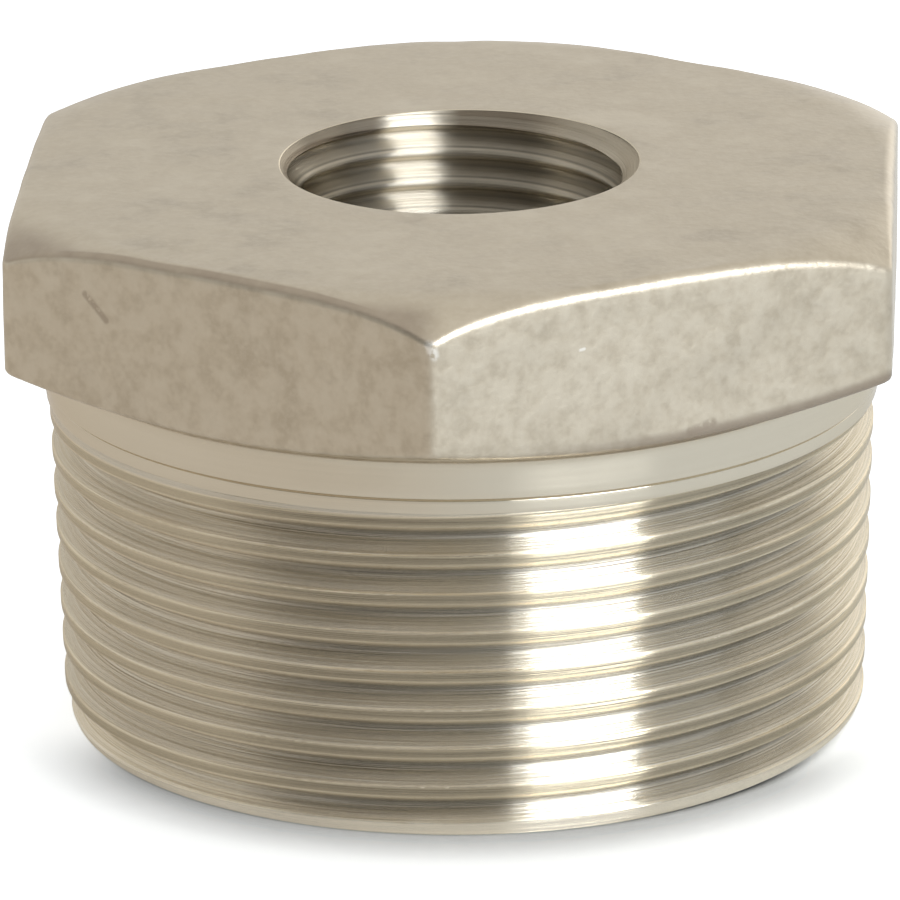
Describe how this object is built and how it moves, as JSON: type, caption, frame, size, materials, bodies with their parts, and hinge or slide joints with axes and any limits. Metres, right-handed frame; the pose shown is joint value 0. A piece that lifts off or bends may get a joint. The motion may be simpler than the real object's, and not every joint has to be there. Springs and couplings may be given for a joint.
{
  "type": "hex bushing",
  "caption": "Hexagon-headed reducing bushing with a large male taper pipe thread, a smaller female pipe thread through it and a cored recess in the threaded end.",
  "frame": {"origin": "centre of the male thread's free end face, on the axis of both threads, which is the bottom centre of the part as it rests", "axes": "+Z along the axis of both threads, from the male thread towards the hexagon head; +Y towards a corner of the hexagon; +X square to one of its flats"},
  "size_m": [0.05, 0.0574, 0.0326],
  "materials": {
    "cast_stainless": "tumbled satin casting, turned threads"
  },
  "bodies": {
    "root": {"bushing": "cast_stainless"}
  },
  "joints": []
}
